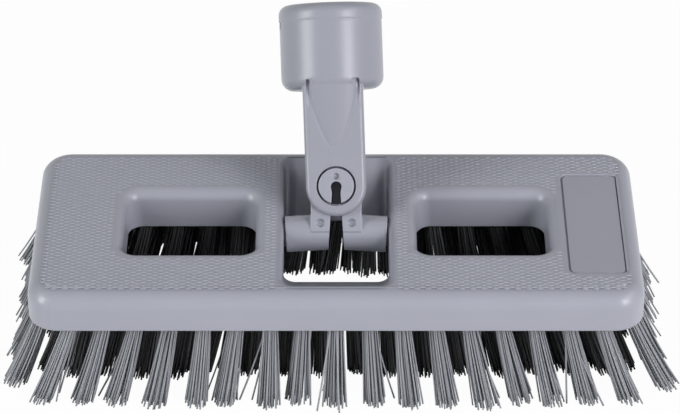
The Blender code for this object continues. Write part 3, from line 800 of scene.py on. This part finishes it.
def grip_pattern(settings, word, side):
    """The staggered grains of one pad."""
    bm = bmesh.new()
    outline = grain_outline()
    rows = int(BLOCK_DEPTH / settings.grain_row_pitch / 2)
    columns = int(BLOCK_LENGTH / settings.grain_pitch / 2) + 1
    for row in range(-rows, rows + 1):
        y = row * settings.grain_row_pitch
        shift = GRAIN_STAGGER_SHARE if row % 2 else -GRAIN_STAGGER_SHARE
        for column_place in range(columns):
            x = side * (column_place + 0.5 + shift) * settings.grain_pitch
            if on_pad(x, y):
                add_grain(bm, outline, x, y, settings)
    grains = mesh_object(f"{word}_grip_pattern", bm, BLOCK_PLACE)
    grains.data.shade_smooth()
    return grains


# The yoke, in a frame with its origin on the tilt axis and +Z along the handle

def upright_frame(origin, up):
    """A frame whose Y runs along the boss and whose Z runs along the handle."""
    across = BOSS_AXIS.cross(up).normalized()
    matrix = Matrix((across, BOSS_AXIS, up)).transposed().to_4x4()
    matrix.translation = origin
    return matrix


def leg_outline():
    """The two legs as one plate, with a round top about the boss."""
    top = arc((0, ARM_LENGTH), LEG_HALF_WIDTH, 0, pi, ROUND_SIDES // 2)
    return [(-LEG_HALF_WIDTH, LEG_FOOT), (LEG_HALF_WIDTH, LEG_FOOT)] + top


def slot_outline():
    """Keyhole: a round bulb in the boss, a waist, and sides that widen downwards."""
    bulb_height = ARM_LENGTH + SLOT_TOP - SLOT_BULB_RADIUS
    foot = -BARREL_RADIUS - OVERRUN
    right = [
        (SLOT_MOUTH_HALF_WIDTH, foot),
        (SLOT_WAIST_HALF_WIDTH, bulb_height - SLOT_WAIST_DROP)]
    bulb = arc((0, bulb_height), SLOT_BULB_RADIUS, 0, pi, ROUND_SIDES // 4)
    return right + bulb + [(-x, y) for x, y in reversed(right)]


def press_marks(yoke):
    """Press the ejector pins' shallow round marks into the legs and the boss."""
    marks = [
        (side * MARK_OFFSET_X, MARK_HEIGHT, LEG_HALF_DEPTH, MARK_RADIUS) for side in ENDS.values()]
    marks.append((0, ARM_LENGTH + DISC_MARK_HEIGHT, CHEEK_OUTER, DISC_MARK_RADIUS))
    for vertex in yoke.data.vertices:
        for x, z, face, radius in marks:
            inward = radius - hypot(vertex.co.x - x, vertex.co.z - z)
            if inward > 0 and abs(abs(vertex.co.y) - face) < MARK_WALL:
                sunk = MARK_DEPTH * min(inward / MARK_WALL, 1)
                vertex.co.y -= copysign(sunk, vertex.co.y)


def yoke_moulding(voxel):
    """Split barrel with trunnion pins, legs, and the boss, whose rear disc closes the keyhole."""
    yoke = slab("yoke_moulding", leg_outline(), LEG_HALF_DEPTH, FACING)
    outer = CENTRE_WIDTH / 2 - BARREL_END_GAP
    pin_end = CENTRE_WIDTH / 2 + PIN_REACH
    for word, side in ENDS.items():
        combine(
            yoke, 'UNION',
            cylinder(f"{word}_barrel", BARREL_RADIUS, (0, 0, BARREL_RISE), (side * outer, 0, 0)),
            cylinder(f"{word}_pin", PIN_RADIUS, (side * outer / 2, 0, 0), (side * pin_end, 0, 0)))
    combine(yoke, 'UNION', cylinder(
        "boss", BOSS_RADIUS, (0, -CHEEK_OUTER, ARM_LENGTH), (0, CHEEK_OUTER, ARM_LENGTH)))
    front = CHEEK_OUTER + OVERRUN
    place = Matrix.Translation((0, (LEG_HALF_DEPTH - front) / 2, 0)) @ FACING
    combine(yoke, 'DIFFERENCE', slab(
        "keyhole_space", slot_outline(), (LEG_HALF_DEPTH + front) / 2, place))
    fuse(yoke, voxel * YOKE_VOXEL_SHARE)
    press_marks(yoke)
    return finish_skin(yoke, upright_frame(TILT_POINT, TILT_AXIS.cross(BOSS_AXIS)))


# The handle neck, in a frame with its origin at the middle of the boss and +Z along the handle

def neck_outline():
    """Front view of the neck: straight sides and a round lower end about the boss."""
    top = [(NECK_HALF_WIDTH, NECK_TAPER_END), (-NECK_HALF_WIDTH, NECK_TAPER_END)]
    return top + arc((0, 0), NECK_HALF_WIDTH, pi, tau, ROUND_SIDES // 2)


def cheek_face(height):
    """How far the neck's flat front and rear stand from its middle at a height."""
    return CHEEK_OUTER + (height - NECK_TAPER_START) * NECK_SLOPE


def neck_side_outline():
    """Side view of the neck: parallel cheeks that thicken upwards to the socket."""
    right = [
        (CHEEK_OUTER, -NECK_HALF_WIDTH - OVERRUN), (CHEEK_OUTER, NECK_TAPER_START),
        (NECK_TOP_HALF_DEPTH + NECK_SLOPE * OVERRUN, NECK_TAPER_END + OVERRUN)]
    return right + [(-x, y) for x, y in reversed(right)]


def neck_bar():
    """The solid neck with rounded long edges, before it is joined or cut."""
    bar = slab("neck_moulding", neck_outline(), NECK_TOP_HALF_DEPTH + OVERRUN, FACING)
    combine(bar, 'INTERSECT', slab(
        "side_limit", neck_side_outline(), NECK_HALF_WIDTH + OVERRUN, SIDEWAYS))
    modify(
        bar, "long_edges", 'BEVEL', width=NECK_EDGE, segments=EDGE_STEPS, limit_method='ANGLE',
        angle_limit=SHARP_ANGLE)
    return settle(bar)


def cone_swelling():
    """The cone that carries the socket's round front and rear down onto the neck."""
    cone = turned("cone_swelling", [
        (0, CONE_START), (CONE_START_RADIUS, CONE_START), (SOCKET_BODY_RADIUS, CONE_END), (0, CONE_END)])
    foot, head = CONE_START - OVERRUN, CONE_END + OVERRUN
    outline = [
        (-CONE_HALF_WIDTH, foot), (CONE_HALF_WIDTH, foot), (CONE_HALF_WIDTH, head),
        (-CONE_HALF_WIDTH, head)]
    return combine(cone, 'INTERSECT', slab("cone_side_limit", outline, SOCKET_RADIUS + OVERRUN, FACING))


def socket_body():
    """The round socket with its rounded foot, its lip and its rounded top edge."""
    foot_edge = arc(
        (SOCKET_BODY_RADIUS - SOCKET_FOOT_EDGE, SOCKET_START + SOCKET_FOOT_EDGE), SOCKET_FOOT_EDGE,
        -pi / 2, 0, EDGE_STEPS)
    top_edge = arc(
        (SOCKET_RADIUS - SOCKET_TOP_EDGE, SOCKET_END - SOCKET_TOP_EDGE), SOCKET_TOP_EDGE,
        0, pi / 2, EDGE_STEPS)
    lip = [(SOCKET_BODY_RADIUS, LIP_FOOT), (SOCKET_RADIUS, LIP_FOOT + LIP_STEP)]
    return turned("socket_body", [(0, SOCKET_START)] + foot_edge + lip + top_edge + [(0, SOCKET_END)])


def pole_bore():
    """The tapered bore for the pole, with a small chamfer at its mouth."""
    above = SOCKET_END + OVERRUN
    return turned("pole_bore", [
        (0, BORE_FLOOR), (BORE_FLOOR_RADIUS, BORE_FLOOR),
        (BORE_MOUTH_RADIUS, SOCKET_END - BORE_CHAMFER),
        (BORE_MOUTH_RADIUS + BORE_CHAMFER + OVERRUN, above), (0, above)])


def leg_space_outline():
    """The space between the cheeks: round above the boss, open at the sides and below."""
    radius = LEG_HALF_WIDTH + CAVITY_GAP
    shoulder_angle = SHOULDER_ANGLE - acos(LEG_HALF_WIDTH / radius)
    shoulder = radius * sin(shoulder_angle)
    reach = NECK_HALF_WIDTH + OVERRUN
    round_top = arc((0, 0), radius, shoulder_angle, pi - shoulder_angle, ROUND_SIDES // 2)
    return [(-reach, -reach), (reach, -reach), (reach, shoulder)] + round_top + [(-reach, shoulder)]


def groove_cutters():
    """Narrow grooves beside the swelling, front and rear, that deepen towards the socket."""
    cutters = []
    reach = SOCKET_RADIUS + OVERRUN
    foot = cheek_face(GROOVE_START)
    head = cheek_face(GROOVE_END) - GROOVE_DEPTH
    for end in ENDS.values():
        place = Matrix.Translation((end * CONE_HALF_WIDTH, 0, 0)) @ SIDEWAYS
        for side in SIDES.values():
            outline = [
                (side * foot, GROOVE_START), (side * reach, GROOVE_START),
                (side * reach, GROOVE_END), (side * head, GROOVE_END)]
            cutters.append(slab("groove", outline, GROOVE_WIDTH, place))
    return cutters


def press_lip_crease(neck):
    """Sink the fine line round the socket under its lip."""
    for vertex in neck.data.vertices:
        x, y, z = vertex.co
        radius = hypot(x, y)
        if radius > BORE_MOUTH_RADIUS + OVERRUN and abs(z - LIP_FOOT) < LIP_CREASE_REACH:
            sunk = LIP_CREASE_DEPTH * exp(-((z - LIP_FOOT) / LIP_CREASE_WIDTH) ** 2)
            vertex.co.x -= x / radius * sunk
            vertex.co.y -= y / radius * sunk


def press_swelling_seam(neck):
    """Sink the line where the swelling leaves the neck's flat front and rear."""
    growth = (SOCKET_BODY_RADIUS - CONE_START_RADIUS) / (CONE_END - CONE_START)
    for vertex in neck.data.vertices:
        x, y, z = vertex.co
        if not CONE_START < z < GROOVE_END:
            continue
        flat = cheek_face(z)
        cone = CONE_START_RADIUS + (z - CONE_START) * growth
        seam = min(sqrt(cone ** 2 - flat ** 2), CONE_HALF_WIDTH)
        if abs(y) > flat - SEAM_WIDTH and abs(x) < NECK_HALF_WIDTH - NECK_EDGE:
            sunk = SEAM_DEPTH * exp(-((abs(x) - seam) / SEAM_WIDTH) ** 2)
            vertex.co.y -= copysign(sunk, y)


def screw_hole():
    """The small hole in the socket's left side, for the screw that holds the pole."""
    outwards = Vector((-cos(SCREW_HOLE_TURN), -sin(SCREW_HOLE_TURN), 0))
    middle = Vector((0, 0, SOCKET_END - SCREW_HOLE_DROP))
    return cylinder(
        "screw_hole", SCREW_HOLE_RADIUS, middle + outwards * (SOCKET_RADIUS + OVERRUN),
        middle + outwards * (BORE_FLOOR_RADIUS - OVERRUN))


def neck_moulding(voxel):
    """Neck, swelling and socket as one moulding, cut for the joint, the pole and its screw."""
    neck = neck_bar()
    combine(neck, 'UNION', socket_body())
    combine(neck, 'DIFFERENCE', *groove_cutters())
    combine(neck, 'UNION', cone_swelling())
    reach = CHEEK_OUTER + OVERRUN
    combine(
        neck, 'DIFFERENCE', slab("leg_space", leg_space_outline(), CHEEK_INNER, FACING),
        cylinder("boss_space", BOSS_HOLE_RADIUS, (0, -reach, 0), (0, reach, 0)),
        pole_bore(), screw_hole())
    fuse(neck, voxel)
    press_lip_crease(neck)
    press_swelling_seam(neck)
    return finish_skin(neck, upright_frame(SWING_POINT, HANDLE_AXIS))


# The fibres, in the block's frame

def spread(count, first, last):
    """Places of a number of tufts, evenly spaced from the first to the last."""
    return [first + (last - first) * index / (count - 1) for index in range(count)]


def splayed(x, y, outward, sideways=0):
    """A tuft's root, and the place where its middle meets the floor."""
    return (x, y), (x * (1 + SPLAY_X_SHARE) + sideways, y + copysign(outward, y))


def column(x, heights):
    """Tufts along an end of the block, which splay more towards the corners."""
    tufts = []
    for y in heights:
        nearness = (y / (BLOCK_DEPTH / 2 - GREY_ROW_INSET)) ** 2
        lean = CORNER_SPLAY * nearness * (y < 0) - END_HOLD * (1 - nearness)
        tufts.append(splayed(
            x, y, abs(y) * COLUMN_SPLAY_SHARE * nearness, copysign(lean, x * lean)))
    return tufts


def grey_rows():
    """Tufts of every row of grey fibre, by the row's node."""
    rows = {}
    for word, side in SIDES.items():
        y = side * (BLOCK_DEPTH / 2 - GREY_ROW_INSET)
        rows[f"{word}_grey_row"] = [
            splayed(
                x, y, GREY_SPLAY * (1 - END_GREY_SHARE * (x / ROW_REACH) ** 2),
                -FIRST_TUFT_LEAN * (side < 0 and x <= -ROW_REACH))
            for x in spread(GREY_ROW_COUNT, -ROW_REACH, ROW_REACH)]
    for word, end in ENDS.items():
        x = end * (BLOCK_LENGTH / 2 - END_COLUMN_INSET)
        rows[f"{word}_end_grey_row"] = column(x, spread(END_COLUMN_COUNT, -COLUMN_REACH, COLUMN_REACH))
    return rows


def black_rows():
    """Tufts of every row of black fibre, by the row's node."""
    first_reach = ROW_REACH - TUFT_PITCH / 2
    middle_reach = TUFT_PITCH * (MIDDLE_ROW_COUNT - 1) / 2
    inner = spread(INNER_ROW_COUNT, ROW_REACH - TUFT_PITCH * (INNER_ROW_COUNT - 1), ROW_REACH)
    lengthwise = {
        "black_row": (
            BLACK_ROW_INSET, BLACK_SPLAY, 0, spread(BLACK_ROW_COUNT, -first_reach, first_reach)),
        "middle_black_row": (
            MIDDLE_ROW_INSET, INNER_SPLAY, MIDDLE_LEAN,
            spread(MIDDLE_ROW_COUNT, -middle_reach, middle_reach)),
        "left_black_row": (INNER_ROW_INSET, INNER_SPLAY, 0, [-x for x in inner]),
        "right_black_row": (INNER_ROW_INSET, INNER_SPLAY, 0, inner),
    }
    rows = {}
    for word, side in SIDES.items():
        for name, (inset, outward, sideways, places) in lengthwise.items():
            y = side * (BLOCK_DEPTH / 2 - inset)
            rows[f"{word}_{name}"] = [splayed(x, y, outward, sideways) for x in places]
    pitch = (BLOCK_DEPTH - 2 * END_COLUMN_SIDE_INSET) / (END_COLUMN_COUNT - 1)
    for word, end in ENDS.items():
        for place, inset in BLACK_COLUMN_INSETS.items():
            rows[f"{word}_{place}_black_row"] = column(
                end * (BLOCK_LENGTH / 2 - inset), spread(BLACK_COLUMN_COUNT, -pitch, pitch))
    return rows


def add_fibre(bm, start, control, end, width, tone):
    """One fibre: a round rod along a gentle bend, cut level where it meets the floor."""
    layers = bm.verts.layers.float
    lean = (end - start).normalized()
    across = lean.cross(Vector((0, 1, 0))).normalized()
    through = lean.cross(across)
    loops = []
    for step in range(FIBRE_STEPS + 1):
        run = step / FIBRE_STEPS
        middle = start * (1 - run) ** 2 + control * (2 * run * (1 - run)) + end * run ** 2
        loop = []
        for side in range(FIBRE_SIDES):
            angle = tau * side / FIBRE_SIDES
            point = middle + (across * cos(angle) + through * sin(angle)) * width / 2
            vertex = bm.verts.new((point.x, point.y, max(point.z, 0)))
            vertex[layers["tone"]] = tone
            vertex[layers["along"]] = run
            loop.append(vertex)
        loops.append(loop)
    skin(bm, loops)
    bm.faces.new(loops[-1])


def add_tuft(bm, root, tip, count, radii, width, stray, chance):
    """One tuft: fibres that leave a round hole together and fan out, with a few that stray."""
    turn = chance.uniform(0, tau)
    sway_x, sway_y = chance.gauss(0, TUFT_SWAY), chance.gauss(0, TUFT_SWAY)
    for index in range(count):
        share = sqrt((index + 0.5) / count)
        angle = turn + index * GOLDEN_ANGLE
        across, along = share * cos(angle), share * sin(angle)
        start = Vector((
            root[0] + across * radii["root"], root[1] + along * radii["root"],
            UNDERSIDE + FIBRE_ROOT_DEPTH))
        wander = stray * (STRAY_REACH if chance.random() < STRAY_SHARE else 1)
        end = Vector((
            tip[0] + sway_x + across * radii["tip"] + chance.gauss(0, wander),
            tip[1] + sway_y + along * radii["tip"] + chance.gauss(0, wander), 0))
        if chance.random() < SHORT_SHARE:
            end = end.lerp(start, chance.uniform(*SHORT_BY_SHARES))
        control = start.lerp(end, 0.5) + Vector((
            (start.x - end.x) * BOW_SHARE + chance.gauss(0, stray * BOW_STRAY_SHARE),
            (start.y - end.y) * BOW_SHARE + chance.gauss(0, stray * BOW_STRAY_SHARE), 0))
        add_fibre(bm, start, control, end, width * chance.uniform(*WIDTH_SHARES), chance.random())


def fibre_row(name, tufts, count, radii, width, stray, chance):
    """One row's tufts as one mesh, with each fibre's tone and how far along it a point is."""
    bm = bmesh.new()
    for label in ("tone", "along"):
        bm.verts.layers.float.new(label)
    for root, tip in tufts:
        add_tuft(bm, root, tip, count, radii, width, stray, chance)
    row = mesh_object(name, bm, BLOCK_PLACE)
    row.data.shade_smooth()
    return row


def build_rows(rows, fibre, slot, *sizes):
    """Build rows of tufts, each row one mesh that stands for its node."""
    for node, tufts in rows.items():
        row = fibre_row(node.replace("_row", "_fibres"), tufts, *sizes, random.Random(node))
        dress(row, fibre, "brush", slot, node)


# Operators

class BlockOperator(bpy.types.Operator):
    """Build the block with its windows, label recess and trunnion holes"""
    bl_idname = "brush.block"
    bl_label = "Block"

    def execute(self, context):
        settings = context.scene.brush_moulding
        # The block's plastic is made paler, as painted light
        plastic = moulded_plastic("block_plastic", settings, BLOCK_PAINTED_LIGHT_PALENESS)
        dress(block_moulding(), plastic, "brush", "grey_plastic", "brush_block")
        return {'FINISHED'}


class GripPatternOperator(bpy.types.Operator):
    """Build the raised grip pattern on both pads of the block"""
    bl_idname = "brush.grip_pattern"
    bl_label = "Grip Pattern"

    def execute(self, context):
        settings = context.scene.brush_moulding
        # The grains get a paler copy of the plastic, a painted highlight on their crests
        plastic = moulded_plastic("grain_plastic", settings, GRAIN_PAINTED_HIGHLIGHT_PALENESS)
        for word, side in ENDS.items():
            dress(grip_pattern(settings, word, side), plastic, "brush", "grey_plastic")
        return {'FINISHED'}


class YokeOperator(bpy.types.Operator):
    """Build the yoke that tilts in the block"""
    bl_idname = "brush.yoke"
    bl_label = "Swivel Yoke"

    def execute(self, context):
        settings = context.scene.brush_moulding
        # The yoke's plastic is made paler, as painted light
        plastic = moulded_plastic("yoke_plastic", settings, YOKE_PAINTED_LIGHT_PALENESS)
        dress(yoke_moulding(settings.voxel), plastic, "yoke", "grey_plastic", "swivel_yoke")
        return {'FINISHED'}


class NeckOperator(bpy.types.Operator):
    """Build the handle neck and pole socket that swing on the yoke"""
    bl_idname = "brush.neck"
    bl_label = "Handle Neck"

    def execute(self, context):
        settings = context.scene.brush_moulding
        plastic = moulded_plastic("neck_plastic", settings)
        dress(neck_moulding(settings.voxel), plastic, "neck", "grey_plastic", "handle_neck")
        return {'FINISHED'}


class GreyFibresOperator(bpy.types.Operator):
    """Build the rows of grey tufts round the block"""
    bl_idname = "brush.grey_fibres"
    bl_label = "Grey Fibres"

    def execute(self, context):
        settings = context.scene.brush_fibres
        fibre = drawn_fibre("grey_fibre", settings.grey, spread=0.22, roughness=0.42, shine=0.4)
        build_rows(
            grey_rows(), fibre, "grey_fibre", settings.grey_count, GREY_RADII, settings.width,
            settings.unevenness)
        return {'FINISHED'}


class BlackFibresOperator(bpy.types.Operator):
    """Build the rows of black tufts inside the grey ones"""
    bl_idname = "brush.black_fibres"
    bl_label = "Black Fibres"

    def execute(self, context):
        settings = context.scene.brush_fibres
        fibre = drawn_fibre("black_fibre", settings.black, spread=0.5, roughness=0.45, shine=0.15)
        build_rows(
            black_rows(), fibre, "black_fibre", settings.black_count, BLACK_RADII, settings.width,
            settings.unevenness * BLACK_STRAY_SHARE)
        return {'FINISHED'}


class StageOperator(bpy.types.Operator):
    """Build the white floor, the soft lamps, the even light and the camera"""
    bl_idname = "brush.stage"
    bl_label = "Stage"

    def execute(self, context):
        settings = context.scene.brush_stage
        scene = context.scene
        scene.view_settings.view_transform = 'Standard'
        white_floor(settings.floor_whiteness, settings.floor_glow)
        even_light(scene, settings.ambient)
        for word, (direction, size, tint) in LAMPS.items():
            soft_lamp(f"{word}_lamp", direction, size, tint, getattr(settings, f"{word}_power"))
        scene.camera = photograph_camera()
        return {'FINISHED'}


# The stage

FLOOR_HALF = 3.0
LAMP_DISTANCE = 1.4
LAMP_AIM = Vector((0, 0, 0.04))
LAMPS = {
    "left": (Vector((-0.85, -0.43, 0.31)), (0.50, 0.90), (0.98, 0.99, 1.0)),
    "right": (Vector((0.615, -0.637, 0.37)), (0.50, 0.90), (0.98, 0.96, 1.0)),
    "upper_left": (Vector((-0.74, -0.20, 0.64)), (0.9, 0.7), (1.0, 1.0, 1.0)),
    "upper_right": (Vector((0.74, -0.20, 0.64)), (0.9, 0.7), (1.0, 1.0, 1.0)),
}
SHADE_HALF = (0.098, 0.046)
SHADE_SOFTNESS = 0.030


def sight(nodes):
    """1 for what the camera sees itself, and 1 for what it sees in a mirror or through glass."""
    path = nodes.add('ShaderNodeLightPath').outputs
    camera = Socket(nodes, path["Is Camera Ray"])
    glossy = Socket(nodes, path["Is Glossy Ray"])
    through = Socket(nodes, path["Is Transmission Ray"])
    return camera, nodes.maths('MAXIMUM', glossy, through)


def clear_of_brush(nodes):
    """0 on the floor under the brush, where the floor's glow is cut off as painted shade, and 1 out in the
    open.
    """
    place = nodes.add('ShaderNodeTexCoord').outputs["Object"]
    parts = nodes.add('ShaderNodeSeparateXYZ', None, {"Vector": place}).outputs
    beyond_x, beyond_y = (
        nodes.maths('ABSOLUTE', parts[axis], 0) - half for axis, half in zip("XY", SHADE_HALF))
    beyond = nodes.maths('MAXIMUM', beyond_x, beyond_y) / SHADE_SOFTNESS
    return nodes.maths('MINIMUM', nodes.maths('MAXIMUM', beyond, 0), 1)


def white_floor(whiteness, glow):
    """A plain floor that the camera sees as almost pure white, with the object's shadow kept."""
    bm = bmesh.new()
    bmesh.ops.create_grid(bm, x_segments=8, y_segments=8, size=FLOOR_HALF)
    floor = mesh_object("floor", bm)
    material = bpy.data.materials.new("floor_white")
    nodes = Nodes(material)
    matt = nodes.add('ShaderNodeBsdfDiffuse', None, {"Color": (0.9, 0.9, 0.9, 1)})
    white = nodes.add('ShaderNodeEmission', None, {"Color": (1, 1, 1, 1), "Strength": 1})
    camera, mirrored = sight(nodes)
    # Painted light: out in the open the floor glows onto the brush, and under the brush that glow is cut
    # off as painted shade
    glowing = clear_of_brush(nodes) * (mirrored * (whiteness - glow) + glow)
    mixed = nodes.add('ShaderNodeMixShader', None, {
        0: camera * whiteness + (1 - camera) * glowing, 1: matt.outputs[0], 2: white.outputs[0]})
    nodes.finish(mixed)
    floor.data.materials.append(material)


def even_light(scene, strength):
    """White behind everything, and weak even light."""
    scene.world = bpy.data.worlds.new("surroundings")
    nodes = Nodes(scene.world)
    seen = nodes.maths('MAXIMUM', *sight(nodes))
    background = nodes.add('ShaderNodeBackground', None, {
        "Color": (1, 1, 1, 1), "Strength": strength + seen * (1 - strength)})
    nodes.finish(background, 'ShaderNodeOutputWorld')


def soft_lamp(name, direction, size, tint, power):
    """A soft lamp that faces the brush from a direction."""
    light = bpy.data.lights.new(name, 'AREA')
    light.shape = 'RECTANGLE'
    light.size, light.size_y = size
    light.energy = power
    light.color = tint
    lamp = put(name, light)
    lamp.location = LAMP_AIM + direction.normalized() * LAMP_DISTANCE
    lamp.rotation_euler = (LAMP_AIM - lamp.location).to_track_quat('-Z', 'Y').to_euler()
    lamp.visible_camera = False


def photograph_camera():
    """The camera, at the photograph's angle."""
    data = bpy.data.cameras.new("camera")
    data.lens = CAMERA_LENS
    data.sensor_width = CAMERA_SENSOR
    data.clip_start, data.clip_end = CAMERA_CLIP
    camera = put("camera", data)
    forward = Vector((0, cos(CAMERA_PITCH), -sin(CAMERA_PITCH)))
    camera.location = CAMERA_AIM - forward * CAMERA_DISTANCE
    camera.rotation_euler = forward.to_track_quat('-Z', 'Y').to_euler()
    return camera


# Panel and registration

OPERATORS = (
    BlockOperator, GripPatternOperator, YokeOperator, NeckOperator, GreyFibresOperator,
    BlackFibresOperator, StageOperator)
SETTINGS = {
    "brush_moulding": MouldingSettings,
    "brush_fibres": FibreSettings,
    "brush_stage": StageSettings,
}


class BrushPanel(bpy.types.Panel):
    """Lists the pieces of the brush and the settings that they are built from"""
    bl_idname = "VIEW3D_PT_swivel_brush"
    bl_label = "Swivel Brush"
    bl_space_type = 'VIEW_3D'
    bl_region_type = 'UI'
    bl_category = "Brush"

    def draw(self, context):
        layout = self.layout
        for operator in OPERATORS:
            layout.operator(operator.bl_idname)
        for name, group in SETTINGS.items():
            column = layout.column()
            for field in group.__annotations__:
                column.prop(getattr(context.scene, name), field)


def register():
    for group in SETTINGS.values():
        bpy.utils.register_class(group)
    for name, group in SETTINGS.items():
        setattr(bpy.types.Scene, name, PointerProperty(type=group))
    for item in (*OPERATORS, BrushPanel):
        bpy.utils.register_class(item)


def unregister():
    for item in reversed((*OPERATORS, BrushPanel)):
        bpy.utils.unregister_class(item)
    for name, group in SETTINGS.items():
        delattr(bpy.types.Scene, name)
        bpy.utils.unregister_class(group)


def main():
    """Build every piece and the stage."""
    register()
    clear_scene()
    bpy.ops.brush.block()
    bpy.ops.brush.grip_pattern()
    bpy.ops.brush.yoke()
    bpy.ops.brush.neck()
    bpy.ops.brush.grey_fibres()
    bpy.ops.brush.black_fibres()
    bpy.ops.brush.stage()


if __name__ == "__main__":
    main()
